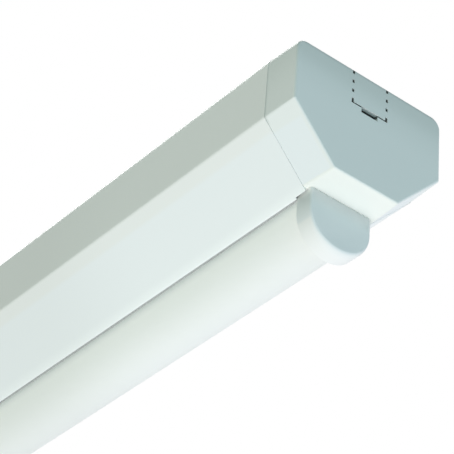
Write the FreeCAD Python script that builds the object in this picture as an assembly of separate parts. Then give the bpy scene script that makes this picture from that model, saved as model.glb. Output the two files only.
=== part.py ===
import FreeCAD, Part
import math
import os

# Linear ceiling light, in millimetres. X runs along the fitting, Y across it and Z up.
# The origin is the centre of the ceiling face, so everything hangs below Z = 0.
# The near end is at +X.

# Housing: a folded sheet-steel channel
overall_length = 600.0
housing_width = 67.2
sheet = 0.6
side_height = 28.0
slope_angle = 46.7
slot_width = 24.8
web_bend = 4.4
crease_bend = 1.0
lip_bend = 0.3
lip_return = 8.5
# Openings in its web
fixing_spacing = 420.0
fixing_slot_width = 5.5
fixing_slot_length = 20.0
box_hole_spacing = 50.8
box_hole_diameter = 5.0
entry_diameter = 20.0
dish_depth = 1.6
dish_rim = 4.0
dish_slant = 3.5
# Lanced tabs that stop the end caps
tab_width = 10.0
tab_drop = 5.0
tab_gap = 0.3
tab_relief = 0.3

# Rubber grommet of the cable entry
grommet_flange = 3.0
grommet_bore_diameter = 12.0
grommet_top_gap = 0.4
grommet_flange_thickness = 1.4
grommet_clearance = 0.1

# End caps: moulded plugs that slide into the housing
cap_length = 15.0
cap_insert = 4.0
cap_wall = 1.6
cap_clearance = 0.1
cap_flush = 0.1
cap_draft = 0.6
cap_rise = 1.5
cap_edge = 0.8
cap_bottom_radius = 1.2
seam_gap = 0.1
tongue_length = 14.0
tongue_thickness = 1.6
tongue_height = 16.0
tongue_width = 20.0
rib_thickness = 1.2
rib_height = 6.0
# Knock-out in the end wall, for small trunking
knockout_width = 15.4
knockout_depth = 14.9
knockout_reach = 9.5
dash_width = 1.0
dash_height = 1.5
dash_pitch = 4.1
dash_count = 3
top_dash_count = 3
dash_margin = 0.4
corner_height = 2.2
slit_height = 0.7
pry_width = 7.4
pry_height = 1.9
rib_margin = 0.7

# Diffuser: an opal extrusion
diffuser_width = 24.8
diffuser_wall = 1.3
diffuser_side = 1.5
lip_gap = 0.2
ledge_thickness = 1.2
leg_thickness = 1.2
leg_height = 4.8
leg_clearance = 0.2
# Its D-shaped end caps
dcap_setback = 12.7
dcap_length = 7.2
dcap_front = 1.4
dcap_side_wall = 0.85
dcap_side = 7.2
dcap_gap = 0.2
dcap_edge = 0.4
dcap_clearance = 0.15
notch_clearance = 0.6
notch_end_gap = 0.3

# Gear tray: a folded steel channel between the lips
tray_clearance = 0.4
tray_sheet = 0.8
tray_bend = 0.6
tray_depth = 8.6
tray_gap = 0.5
tray_end_gap = 1.5
# Spring clips over the tray
clip_thickness = 0.3
clip_bend = 1.0
clip_width = 10.0
clip_lift = 0.8
clip_setback = 8.0
clip_inset = 45.5
rivet_diameter = 3.0
rivet_head_diameter = 4.8
rivet_head_height = 0.9
rivet_spread = 4.0

# LED boards
board_width = 18.0
board_thickness = 1.6
board_end_gap = 2.5
board_hole_gap = 1.5
board_clear_diameter = 6.0
led_length = 3.5
led_width = 2.8
led_height = 0.7
led_pitch = 12.0
led_start = 18.0
board_screw_offset = 5.5
board_screw_inset = 24.0
connector_length = 8.0
connector_width = 9.0
connector_height = 4.0
connector_setback = 2.0
connector_pole_spread = 2.0
# Pass for the LED leads
bush_length = 10.0
bush_width = 8.0
bush_wall = 1.0
bush_rim = 0.8

# Driver
driver_length = 180.0
driver_width = 22.0
driver_height = 18.0
driver_edge = 1.5
driver_plate = 1.0
driver_foot = 8.0
driver_foot_slot = 3.4
driver_step_length = 14.0
driver_step_height = 8.0
driver_groove = 0.5
driver_groove_drop = 3.0
driver_terminal_height = 8.5
driver_terminal_width = 19.0
driver_pole_spread = 3.5
wire_drop = 20.0

# Mains terminal block and its release buttons
terminal_length = 26.0
terminal_width = 22.4
terminal_height = 16.0
terminal_edge = 0.8
terminal_setback = 11.5
terminal_peg_diameter = 3.0
pole_pitch = 7.0
pole_height = 6.7
pole_hole_diameter = 3.2
funnel_diameter = 5.2
funnel_depth = 1.6
button_length = 6.0
button_width = 4.6
button_proud = 2.5
button_sunk = 4.0
button_travel = 1.5
button_clearance = 0.2
button_setback = 9.0
button_slot = 0.8
wiring_space = 42.0

# Leads
mains_wire_diameter = 2.2
led_wire_diameter = 1.6
wire_insert = 5.0
wire_hole_gap = 0.3
wire_run = 10.0
wire_rise = 5.0
wire_share = 0.45

# Protective earth on the tray
earth_offset = 12.0
earth_side = 5.0
lug_thickness = 0.8
lug_diameter = 8.0
lug_barrel_length = 5.0
lug_barrel_wall = 0.4
washer_thickness = 0.6
washer_diameter = 7.6
earth_screw_diameter = 4.0
earth_head_diameter = 7.2
earth_head_height = 2.6
earth_screw_reach = 2.0

# Small screws
screw_diameter = 3.0
screw_head_diameter = 5.6
screw_head_height = 2.0
hole_gap = 0.1

# How far a cutter runs past the face that it opens
cut_over = 1.0

# Places that follow from the sizes above
end_face = overall_length / 2
housing_end = end_face - cap_length
housing_half = housing_width / 2
slot_half = slot_width / 2
slope_rise = math.tan(math.radians(slope_angle))
lip_corner = -side_height - (housing_half - slot_half) * slope_rise
lip_outer = lip_bend + sheet
lip_turn = math.radians(90 + slope_angle)
lip_bottom = lip_corner + lip_outer * math.tan(lip_turn / 2) - lip_outer
cap_depth = -lip_bottom - cap_rise
cap_back = housing_end - cap_insert
cap_inset = sheet + cap_clearance
cap_seam = housing_end + seam_gap
cap_top = -cap_flush - cap_draft
cap_inner_face = end_face - cap_wall
tongue_end = cap_back - tongue_length
shoulder = lip_bottom - lip_gap
diffuser_half = diffuser_width / 2
diffuser_centre = shoulder - diffuser_side
dcap_face = end_face - dcap_setback
dcap_rim = dcap_face - dcap_length
dcap_half = diffuser_half + dcap_clearance + dcap_side_wall
dcap_top = -cap_depth - dcap_gap
dcap_centre = dcap_top - dcap_side
diffuser_end = dcap_face - dcap_front - dcap_clearance
tray_half = slot_half - tray_clearance
tray_bottom = shoulder + tray_gap
tray_top = tray_bottom + tray_depth
tray_under = tray_top - tray_sheet
tray_end = cap_back - tray_end_gap
leg_outer = tray_half - tray_sheet - leg_clearance
leg_inner = leg_outer - leg_thickness
board_bottom = tray_under - board_thickness
terminal_end = tray_end - terminal_setback
terminal_start = terminal_end - terminal_length
terminal_top = tray_top + terminal_height
driver_end = terminal_start - wiring_space
driver_start = driver_end - driver_length
driver_floor = tray_top + driver_plate
wire_pass = driver_start - wire_drop
clip_places = [terminal_start - clip_setback, -tray_end + clip_inset]
earth_place = driver_end + earth_offset
board_near = (wire_pass + bush_length / 2 + board_hole_gap, tray_end - board_end_gap)
board_far = (-tray_end + board_end_gap, wire_pass - bush_length / 2 - board_hole_gap)
button_place = terminal_end - button_setback


def vector(x, y, z):
    return FreeCAD.Vector(x, y, z)


def block(x_range, y_range, z_range):
    low = vector(x_range[0], y_range[0], z_range[0])
    high = vector(x_range[1], y_range[1], z_range[1])
    size = high - low
    return Part.makeBox(size.x, size.y, size.z, low)


def about(middle, width):
    return (middle - width / 2, middle + width / 2)


def rod(diameter, start, end):
    way = end - start
    return Part.makeCylinder(diameter / 2, way.Length, start, way)


def rounded_edges(points, radii, closed=False):
    """Straight runs through the points, with a tangent arc of the given radius at each corner."""
    count = len(points)
    corners = range(count) if closed else range(1, count - 1)
    leave = {}
    reach = {}
    arcs = {}
    for i in corners:
        here = points[i]
        back = (points[i - 1] - here).normalize()
        ahead = (points[(i + 1) % count] - here).normalize()
        if radii[i] == 0:
            continue
        half_turn = (math.pi - back.getAngle(ahead)) / 2
        tangent = radii[i] * math.tan(half_turn)
        bisector = (back + ahead).normalize()
        middle = here + bisector * (radii[i] / math.cos(half_turn) - radii[i])
        reach[i] = here + back * tangent
        leave[i] = here + ahead * tangent
        arcs[i] = Part.Arc(reach[i], middle, leave[i]).toShape()
    edges = []
    for i in range(count if closed else count - 1):
        after = (i + 1) % count
        start = leave.get(i, points[i])
        end = reach.get(after, points[after])
        if (end - start).Length > 1e-6:
            edges.append(Part.LineSegment(start, end).toShape())
        if after in arcs:
            edges.append(arcs[after])
    return edges


def section(pairs):
    return [vector(0, y, z) for y, z in pairs]


def extruded(edges, x_range):
    face = Part.Face(Part.Wire(Part.__sortEdges__(edges)))
    face.translate(vector(x_range[0], 0, 0))
    return face.extrude(vector(x_range[1] - x_range[0], 0, 0))


def left_offset(points, distance):
    """The same run of points moved to its left in the YZ plane, with mitred corners."""
    ways = [(points[i + 1] - points[i]).normalize() for i in range(len(points) - 1)]
    normals = [vector(0, -way.z, way.y) for way in ways]
    moved = [points[0] + normals[0] * distance]
    for i in range(1, len(points) - 1):
        mitre = normals[i - 1] + normals[i]
        share = distance / (1 + normals[i - 1].dot(normals[i]))
        moved.append(points[i] + mitre * share)
    moved.append(points[-1] + normals[-1] * distance)
    return moved


def folded_sheet(pairs, bends, thickness, x_range):
    """A bent strip: the points give its outer face, and every bend turns to the left."""
    outer = section(pairs)
    inner = left_offset(outer, thickness)
    outside = rounded_edges(outer, [0] + [bend + thickness for bend in bends] + [0])
    inside = rounded_edges(inner, [0] + list(bends) + [0])
    ends = [Part.LineSegment(outer[i], inner[i]).toShape() for i in (0, -1)]
    return extruded(outside + inside + ends, x_range)


def ring(profile):
    """A profile of (radius, height) pairs turned about the Z axis."""
    points = [vector(radius, 0, height) for radius, height in profile]
    face = Part.Face(Part.makePolygon(points + points[:1]))
    return face.revolve(vector(0, 0, 0), vector(0, 0, 1), 360)


def lead(points, diameter):
    """A round lead through the points, with arcs as large as the runs allow."""
    radii = [0] * len(points)
    for i in range(1, len(points) - 1):
        back = points[i - 1] - points[i]
        ahead = points[i + 1] - points[i]
        half_turn = (math.pi - back.getAngle(ahead)) / 2
        if half_turn > 1e-6:
            radii[i] = wire_share * min(back.Length, ahead.Length) / math.tan(half_turn)
    path = Part.Wire(rounded_edges(points, radii))
    way = points[1] - points[0]
    rim = Part.Wire(Part.makeCircle(diameter / 2, points[0], way))
    return path.makePipeShell([rim], True, False)


def mirrored(shape):
    return shape.mirror(vector(0, 0, 0), vector(1, 0, 0))


def long_slot(length, width, place, z_range):
    straight = length - width
    cutter = block(about(place, straight), about(0, width), z_range)
    for end in about(place, straight):
        cutter = cutter.fuse(rod(width, vector(end, 0, z_range[0]), vector(end, 0, z_range[1])))
    return cutter


# Housing

def make_housing():
    outline = [
        (slot_half, lip_corner + lip_return),
        (slot_half, lip_corner),
        (housing_half, -side_height),
        (housing_half, 0),
        (-housing_half, 0),
        (-housing_half, -side_height),
        (-slot_half, lip_corner),
        (-slot_half, lip_corner + lip_return),
    ]
    bends = [lip_bend, crease_bend, web_bend, web_bend, crease_bend, lip_bend]
    body = folded_sheet(outline, bends, sheet, (-housing_end, housing_end))

    through = (-sheet - cut_over, cut_over)
    cuts = []
    for place in about(0, fixing_spacing):
        cuts.append(long_slot(fixing_slot_length, fixing_slot_width, place, through))
    for place in about(0, box_hole_spacing):
        cuts.append(rod(box_hole_diameter, vector(place, 0, through[0]), vector(place, 0, through[1])))
    dish_edge = entry_diameter / 2 + dish_rim + dish_slant
    cuts.append(rod(2 * dish_edge, vector(0, 0, through[0]), vector(0, 0, through[1])))

    # The lips stop short of the diffuser's caps
    notch_half = dcap_half + notch_clearance
    notch_start = dcap_rim - notch_end_gap
    notch_depth = (lip_corner - sheet, lip_corner + 2 * lip_return)
    for side in (-1, 1):
        stretch = sorted((side * notch_start, side * end_face))
        cuts.append(block(stretch, (-notch_half, notch_half), notch_depth))

    # A tab at each end is cut from the web and bent down
    tabs = []
    tab_face = tongue_end - tab_gap
    for side in (-1, 1):
        window = sorted((side * tab_face, side * (tab_face - tab_drop - tab_relief)))
        cuts.append(block(window, about(0, tab_width + 2 * tab_relief), through))
        wall = sorted((side * tab_face, side * (tab_face - sheet)))
        tabs.append(block(wall, about(0, tab_width), (-tab_drop, 0)))
    for cut in cuts:
        body = body.cut(cut)

    # The cable entry is dished, so that its grommet stays below the ceiling face
    entry = entry_diameter / 2
    flat = entry + dish_rim
    dish = ring([
        (entry, -dish_depth), (flat, -dish_depth), (dish_edge, 0), (dish_edge + sheet, 0),
        (dish_edge + sheet, -sheet), (dish_edge, -sheet),
        (flat, -dish_depth - sheet), (entry, -dish_depth - sheet),
    ])
    for piece in tabs + [dish]:
        body = body.fuse(piece)
    return body.removeSplitter()


def make_cable_grommet():
    bore = grommet_bore_diameter / 2
    neck = entry_diameter / 2 - grommet_clearance
    flange = entry_diameter / 2 + grommet_flange
    below = -dish_depth - sheet
    return ring([
        (bore, -grommet_top_gap), (flange, -grommet_top_gap), (flange, -dish_depth), (neck, -dish_depth),
        (neck, below), (flange, below), (flange, below - grommet_flange_thickness),
        (bore, below - grommet_flange_thickness),
    ])


# End caps

def cap_outline(inset, bottom):
    """The cap's section, a given distance inside the housing's outer faces."""
    side = housing_half - inset
    crease = -side_height + inset * math.tan(math.radians(90 - slope_angle) / 2)
    foot = side - (crease - bottom) / slope_rise
    top_radius = max(web_bend + sheet - inset, sheet)
    points = section([
        (side, -inset), (-side, -inset), (-side, crease), (-foot, bottom), (foot, bottom), (side, crease),
    ])
    crease_radius = max(crease_bend + sheet - inset, crease_bend / 2)
    radii = [top_radius, top_radius, crease_radius, cap_bottom_radius, cap_bottom_radius, crease_radius]
    return rounded_edges(points, radii, closed=True)


def knockout_cuts():
    """Dashes down the end wall and along the top wall, slits across them and a wider slot to pry."""
    end_wall = (cap_inner_face - cut_over, end_face + cut_over)
    top_wall = (-cap_inset - cap_wall - cut_over, cut_over)
    bottom = cap_top - knockout_depth
    step = (knockout_reach - dash_height) / top_dash_count
    cuts = []
    for middle in about(0, knockout_width):
        y_range = about(middle, dash_width)
        for i in range(dash_count):
            high = cap_top - dash_margin - i * dash_pitch
            cuts.append(block(end_wall, y_range, (high - dash_height, high)))
        cuts.append(block(end_wall, y_range, (bottom, bottom + corner_height)))
        for i in range(top_dash_count):
            start = end_face - knockout_reach + i * step
            cuts.append(block((start, start + dash_height), y_range, top_wall))
    across = about(0, knockout_width)
    cuts.append(block(end_wall, across, (bottom, bottom + slit_height)))
    inner = end_face - knockout_reach
    cuts.append(block((inner, inner + slit_height), across, top_wall))
    cuts.append(block(end_wall, about(0, pry_width), (bottom - pry_height, bottom + slit_height)))
    return cuts


def make_end_cap():
    # Flush with the housing at the seam, with draft towards the end
    rims = []
    for x, inset in ((cap_seam, cap_flush), (end_face, -cap_top)):
        rim = Part.Wire(Part.__sortEdges__(cap_outline(inset, -cap_depth)))
        rim.translate(vector(x, 0, 0))
        rims.append(rim)
    body = Part.makeLoft(rims, True, True)
    front = [edge for edge in body.Edges if edge.BoundBox.XMin > end_face - 1e-4]
    body = body.makeFillet(cap_edge, front)
    plug = extruded(cap_outline(cap_inset, -cap_depth), (cap_back, cap_seam + cap_wall))
    hollow = cap_outline(cap_inset + cap_wall, -cap_depth + cap_wall)
    body = body.fuse(plug).cut(extruded(hollow, (cap_back - cut_over, cap_inner_face)))

    # Tongues run on inside the housing, along its sides and under its web
    overlap = (tongue_end, cap_back + cap_wall)
    middle = -side_height / 2 - cap_inset
    side = housing_half - cap_inset
    for y_range in ((-side, -side + tongue_thickness), (side - tongue_thickness, side)):
        body = body.fuse(block(overlap, y_range, about(middle, tongue_height)))
    body = body.fuse(block(overlap, about(0, tongue_width), (-cap_inset - tongue_thickness, -cap_inset)))

    # Two ribs stiffen the end wall beside the knock-out
    rib_place = knockout_width / 2 + dash_width / 2 + rib_margin
    rib_reach = (cap_inner_face - rib_height, cap_inner_face + cap_wall / 2)
    rib_span = (-cap_depth + cap_wall / 2, -cap_inset - cap_wall / 2)
    for inner in (rib_place, -rib_place - rib_thickness):
        body = body.fuse(block(rib_reach, (inner, inner + rib_thickness), rib_span))
    for cut in knockout_cuts():
        body = body.cut(cut)
    return body.removeSplitter()


# Diffuser and its caps

def d_outline(half, top, centre, bottom):
    """A flat top, straight sides and a half-round (or half-elliptic) bottom."""
    right = vector(0, half, centre)
    left = vector(0, -half, centre)
    return [
        Part.LineSegment(vector(0, -half, top), vector(0, half, top)).toShape(),
        Part.LineSegment(vector(0, half, top), right).toShape(),
        Part.Arc(right, vector(0, 0, bottom), left).toShape(),
        Part.LineSegment(left, vector(0, -half, top)).toShape(),
    ]


def make_diffuser():
    full = (-diffuser_end, diffuser_end)
    outer = d_outline(diffuser_half, shoulder, diffuser_centre, diffuser_centre - diffuser_half)
    inner_half = diffuser_half - diffuser_wall
    cavity = d_outline(inner_half, shoulder + diffuser_wall, diffuser_centre, diffuser_centre - inner_half)
    body = extruded(outer, full).cut(extruded(cavity, (-end_face, end_face)))
    for side in (-1, 1):
        ledge = sorted((side * leg_inner, side * (diffuser_half - diffuser_wall / 2)))
        body = body.fuse(block(full, ledge, (shoulder - ledge_thickness, shoulder)))
        leg = sorted((side * leg_inner, side * leg_outer))
        rise = (shoulder - ledge_thickness, shoulder + leg_height)
        body = body.fuse(block((-tray_end, tray_end), leg, rise))
    return body.removeSplitter()


def make_diffuser_cap():
    outline = d_outline(dcap_half, dcap_top, dcap_centre, dcap_centre - dcap_half)
    body = extruded(outline, (dcap_rim, dcap_face))
    front = [edge for edge in body.Edges if edge.BoundBox.XMin > dcap_face - 1e-4]
    body = body.makeFillet(dcap_edge, [edge for edge in front if edge.BoundBox.ZMin < dcap_top - 1e-4])
    half = diffuser_half + dcap_clearance
    pocket = d_outline(half, shoulder + dcap_clearance, diffuser_centre, diffuser_centre - half)
    return body.cut(extruded(pocket, (dcap_rim - dcap_length, dcap_face - dcap_front)))


# Gear tray with its clips

def make_gear_tray():
    outline = [
        (tray_half, tray_bottom), (tray_half, tray_top), (-tray_half, tray_top), (-tray_half, tray_bottom),
    ]
    body = folded_sheet(outline, [tray_bend, tray_bend], tray_sheet, (-tray_end, tray_end))
    through = (tray_under - cut_over, tray_top + cut_over)
    body = body.cut(block(about(wire_pass, bush_length), about(0, bush_width), through))
    holes = [(place, y, rivet_diameter) for place in clip_places for y in (-rivet_spread, rivet_spread)]
    holes += [(x, y, screw_diameter) for x, y in board_screw_places() + driver_screw_places()]
    holes += [(x, 0, terminal_peg_diameter) for x in terminal_pegs()]
    holes.append((earth_place, earth_side, earth_screw_diameter))
    for x, y, diameter in holes:
        body = body.cut(rod(diameter + 2 * hole_gap, vector(x, y, through[0]), vector(x, y, through[1])))
    return body


def make_spring_clip(place):
    outer = tray_half + clip_thickness
    top = tray_top + clip_thickness
    low = tray_bottom + clip_lift
    outline = [(outer, low), (outer, top), (-outer, top), (-outer, low)]
    body = folded_sheet(outline, [clip_bend, clip_bend], clip_thickness, about(place, clip_width))
    hole = rivet_diameter + 2 * hole_gap
    for y in (-rivet_spread, rivet_spread):
        body = body.cut(rod(hole, vector(place, y, tray_top - cut_over), vector(place, y, top + cut_over)))
    return body


def make_clip_rivets():
    rivets = []
    seat = tray_top + clip_thickness
    for place in clip_places:
        for y in (-rivet_spread, rivet_spread):
            foot = vector(place, y, tray_under)
            neck = vector(place, y, seat)
            height = vector(0, 0, rivet_head_height)
            upper = rod(rivet_head_diameter, neck, neck + height)
            lower = rod(rivet_head_diameter, foot - height, foot)
            rivets.append(rod(rivet_diameter, foot, neck).fuse([upper, lower]).removeSplitter())
    return Part.makeCompound(rivets)


# LED boards

def board_screw_places():
    places = []
    for low, high in (board_near, board_far):
        middle = (low + high) / 2
        stations = (low + board_screw_inset, middle, high - board_screw_inset)
        places += [(x, board_screw_offset) for x in stations]
    return places


def make_led_board(x_range):
    body = block(x_range, about(0, board_width), (board_bottom, tray_under))
    holes = [(x, y, screw_diameter + 2 * hole_gap) for x, y in board_screw_places()]
    clear = [(place, y) for place in clip_places for y in (-rivet_spread, rivet_spread)]
    clear.append((earth_place, earth_side))
    holes += [(x, y, board_clear_diameter) for x, y in clear]
    low = board_bottom - cut_over
    high = tray_under + cut_over
    for x, y, diameter in holes:
        if x_range[0] < x < x_range[1]:
            body = body.cut(rod(diameter, vector(x, y, low), vector(x, y, high)))
    return body


def make_leds(inner_end, outer_end):
    """LED packages at a steady pitch, passing over the clearance holes of the board."""
    way = 1 if outer_end > inner_end else -1
    count = int((abs(outer_end - inner_end) - led_start - led_length) / led_pitch) + 1
    places = [inner_end + way * (led_start + i * led_pitch) for i in range(count)]
    keep = (board_clear_diameter + led_length) / 2
    free = [x for x in places if all(abs(x - hole) > keep for hole in clip_places)]
    z_range = (board_bottom - led_height, board_bottom)
    return Part.makeCompound([block(about(x, led_length), about(0, led_width), z_range) for x in free])


def connector_range(inner_end, way):
    mouth = inner_end + way * connector_setback
    return sorted((mouth, mouth + way * connector_length))


def connector_axis():
    return board_bottom - connector_height / 2


def make_board_connector(inner_end, way):
    x_range = connector_range(inner_end, way)
    body = block(x_range, about(0, connector_width), (board_bottom - connector_height, board_bottom))
    mouth = x_range[0] if way > 0 else x_range[1]
    for y in (-connector_pole_spread, connector_pole_spread):
        start = vector(mouth - way, y, connector_axis())
        end = vector(mouth + way * (wire_insert + wire_hole_gap), y, connector_axis())
        body = body.cut(rod(led_wire_diameter + 2 * wire_hole_gap, start, end))
    return body


def pan_screw(diameter, head, height, seat, tip, way):
    """A screw along Z: the head stands on its seat on the side given by way."""
    shank = rod(diameter, tip, seat)
    crown = Part.makeCylinder(head / 2, height, seat, vector(0, 0, way))
    rim = [edge for edge in crown.Edges if abs(edge.BoundBox.ZMin - seat.z - way * height) < 1e-4
           and edge.BoundBox.ZLength < 1e-4]
    crown = crown.makeFillet(height / 3, rim)
    return crown.fuse(shank).removeSplitter()


def make_board_screws():
    screws = []
    for x, y in board_screw_places():
        seat = vector(x, y, board_bottom)
        tip = vector(x, y, tray_top)
        screws.append(pan_screw(screw_diameter, screw_head_diameter, screw_head_height, seat, tip, -1))
    return Part.makeCompound(screws)


def make_wire_bush():
    gap = hole_gap
    outer = block(about(wire_pass, bush_length - 2 * gap), about(0, bush_width - 2 * gap),
                  (tray_under, tray_top + bush_rim))
    rim = block(about(wire_pass, bush_length + 2 * bush_wall), about(0, bush_width + 2 * bush_wall),
                (tray_top, tray_top + bush_rim))
    through = block(about(wire_pass, bush_length - 2 * bush_wall), about(0, bush_width - 2 * bush_wall),
                    (tray_under - cut_over, tray_top + bush_rim + cut_over))
    return outer.fuse(rim).cut(through).removeSplitter()


# Driver

def driver_screw_places():
    return [(driver_start - driver_foot / 2, 0), (driver_end + driver_foot / 2, 0)]


def make_driver_base():
    x_range = (driver_start - driver_foot, driver_end + driver_foot)
    plate = block(x_range, about(0, driver_width), (tray_top, driver_floor))
    corners = [edge for edge in plate.Edges if edge.BoundBox.ZLength > driver_plate / 2]
    plate = plate.makeFillet(driver_edge, corners)
    low = tray_top - cut_over
    high = driver_floor + cut_over
    for (x, y), way in zip(driver_screw_places(), (-1, 1)):
        slot = sorted((x, x + way * driver_foot))
        plate = plate.cut(block(slot, about(y, driver_foot_slot), (low, high)))
        plate = plate.cut(rod(driver_foot_slot, vector(x, y, low), vector(x, y, high)))
    return plate


def make_driver_case():
    top = driver_floor + driver_height
    body = block((driver_start, driver_end), about(0, driver_width), (driver_floor, top))
    upper = [edge for edge in body.Edges if edge.BoundBox.ZMax > driver_floor + 1e-4]
    body = body.makeFillet(driver_edge, upper)
    step = driver_floor + driver_step_height
    across = about(0, driver_width + 2 * cut_over)
    for end, way in ((driver_start, 1), (driver_end, -1)):
        x_range = sorted((end - way * cut_over, end + way * driver_step_length))
        body = body.cut(block(x_range, across, (step, top + cut_over)))
    # A groove shows where the cover meets the case
    seam = top - driver_groove_drop
    frame = block((driver_start, driver_end), about(0, driver_width), about(seam, driver_groove))
    core = block((driver_start + driver_groove, driver_end - driver_groove),
                 about(0, driver_width - 2 * driver_groove), about(seam, driver_groove))
    return body.cut(frame.cut(core))


def driver_pole_axis():
    return driver_floor + driver_step_height + driver_terminal_height / 2


def make_driver_terminal(mouth, way):
    """A push-in terminal in the step of the case. Its wire holes open at the mouth."""
    step = driver_floor + driver_step_height
    x_range = sorted((mouth, mouth + way * (driver_step_length - hole_gap)))
    body = block(x_range, about(0, driver_terminal_width), (step, step + driver_terminal_height))
    upper = [edge for edge in body.Edges if edge.BoundBox.ZMin > step + driver_terminal_height - 1e-4]
    body = body.makeFillet(driver_groove, upper)
    for y in (-driver_pole_spread, driver_pole_spread):
        start = vector(mouth - way, y, driver_pole_axis())
        end = vector(mouth + way * (wire_insert + wire_hole_gap), y, driver_pole_axis())
        body = body.cut(rod(mains_wire_diameter + 2 * wire_hole_gap, start, end))
    return body


def make_driver_screws():
    screws = []
    for x, y in driver_screw_places():
        seat = vector(x, y, driver_floor)
        tip = vector(x, y, tray_under)
        screws.append(pan_screw(screw_diameter, screw_head_diameter, screw_head_height, seat, tip, 1))
    return Part.makeCompound(screws)


# Mains terminal block

pole_sides = {"live": -pole_pitch, "neutral": 0.0, "earth": pole_pitch}
pole_axis = tray_top + pole_height


def terminal_pegs():
    return [terminal_start + terminal_length / 4, terminal_end - terminal_length / 4]


def make_terminal_block():
    body = block((terminal_start, terminal_end), about(0, terminal_width), (tray_top, terminal_top))
    upper = [edge for edge in body.Edges if edge.BoundBox.ZMax > tray_top + 1e-4]
    body = body.makeFillet(terminal_edge, upper)
    for x in terminal_pegs():
        foot = vector(x, 0, tray_under)
        body = body.fuse(rod(terminal_peg_diameter, foot, vector(x, 0, tray_top + terminal_edge)))
    well_floor = terminal_top - button_sunk - button_travel - button_clearance
    for y in pole_sides.values():
        well = block(about(button_place, button_length + 2 * button_clearance),
                     about(y, button_width + 2 * button_clearance), (well_floor, terminal_top + cut_over))
        body = body.cut(well)
        for mouth, way in ((terminal_start, 1), (terminal_end, -1)):
            outside = vector(mouth, y, pole_axis)
            inward = vector(way, 0, 0)
            stop = outside + inward * (wire_insert + wire_hole_gap)
            body = body.cut(rod(pole_hole_diameter, outside, stop))
            wide = funnel_diameter / 2
            body = body.cut(Part.makeCone(wide, pole_hole_diameter / 2, funnel_depth, outside, inward))
    return body.removeSplitter()


def make_button(side):
    z_range = (terminal_top - button_sunk, terminal_top + button_proud)
    body = block(about(button_place, button_length), about(side, button_width), z_range)
    upper = [edge for edge in body.Edges if edge.BoundBox.ZMin > z_range[1] - 1e-4]
    body = body.makeFillet(button_slot / 2, upper)
    slot_range = (z_range[1] - button_slot, z_range[1] + cut_over)
    return body.cut(block(about(button_place, button_length / 2), about(side, button_slot), slot_range))


# Leads

def mains_lead(side, driver_side):
    """From the terminal block, in a low arch, to the driver's input."""
    start = terminal_start + wire_insert
    end = driver_end - wire_insert
    middle = (terminal_start + driver_end) / 2
    arch = max(pole_axis, driver_pole_axis()) + wire_rise
    return lead([
        vector(start, side, pole_axis),
        vector(terminal_start - wire_run, side, pole_axis),
        vector(middle, (side + driver_side) / 2, arch),
        vector(driver_end + wire_run, driver_side, driver_pole_axis()),
        vector(end, driver_side, driver_pole_axis()),
    ], mains_wire_diameter)


def lug_axis():
    return tray_top + lug_barrel_wall + mains_wire_diameter / 2 + hole_gap


def earth_lead():
    side = pole_sides["earth"]
    barrel = earth_place + lug_diameter / 2 + lug_barrel_length
    return lead([
        vector(terminal_start + wire_insert, side, pole_axis),
        vector(terminal_start - wire_run, side, pole_axis),
        vector(barrel + wire_run / 2, earth_side, lug_axis()),
        vector(barrel - lug_barrel_length + hole_gap, earth_side, lug_axis()),
    ], mains_wire_diameter)


def led_lead(driver_side, board_side, way):
    """From the driver's output, down through the bush, to a board connector."""
    drop = wire_pass + way * (bush_length / 2 - bush_wall - led_wire_diameter / 2 - wire_hole_gap)
    inner_end = board_near[0] if way > 0 else board_far[1]
    end = inner_end + way * (connector_setback + wire_insert)
    return lead([
        vector(driver_start + wire_insert, driver_side, driver_pole_axis()),
        vector(drop, board_side, driver_pole_axis()),
        vector(drop, board_side, connector_axis()),
        vector(end, board_side, connector_axis()),
    ], led_wire_diameter)


def led_link():
    start = vector(board_near[0] + connector_setback + wire_insert, connector_pole_spread, connector_axis())
    near_mouth = vector(board_near[0] + connector_setback, connector_pole_spread, connector_axis())
    far_mouth = vector(board_far[1] - connector_setback, -connector_pole_spread, connector_axis())
    end = vector(board_far[1] - connector_setback - wire_insert, -connector_pole_spread, connector_axis())
    return lead([start, near_mouth, far_mouth, end], led_wire_diameter)


# Protective earth

def make_earth_lug():
    centre = vector(earth_place, earth_side, tray_top)
    top = vector(earth_place, earth_side, tray_top + lug_thickness)
    eye = rod(lug_diameter, centre, top)
    barrel_start = earth_place + lug_diameter / 2
    outer = mains_wire_diameter + 2 * (hole_gap + lug_barrel_wall)
    neck = block((earth_place, barrel_start + hole_gap), about(earth_side, outer), (centre.z, top.z))
    barrel_back = vector(barrel_start, earth_side, lug_axis())
    barrel_mouth = vector(barrel_start + lug_barrel_length, earth_side, lug_axis())
    barrel = rod(outer, barrel_back, barrel_mouth)
    bore = rod(mains_wire_diameter + 2 * hole_gap, barrel_back + vector(-hole_gap, 0, 0), barrel_mouth)
    hole = rod(earth_screw_diameter + 2 * hole_gap, centre, top)
    return eye.fuse(neck).cut(hole).fuse(barrel).cut(bore).removeSplitter()


def make_earth_washer():
    low = vector(earth_place, earth_side, tray_top + lug_thickness)
    high = low + vector(0, 0, washer_thickness)
    return rod(washer_diameter, low, high).cut(rod(earth_screw_diameter + 2 * hole_gap, low, high))


def make_earth_screw():
    seat = vector(earth_place, earth_side, tray_top + lug_thickness + washer_thickness)
    tip = vector(earth_place, earth_side, tray_under - earth_screw_reach)
    return pan_screw(earth_screw_diameter, earth_head_diameter, earth_head_height, seat, tip, 1)


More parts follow.
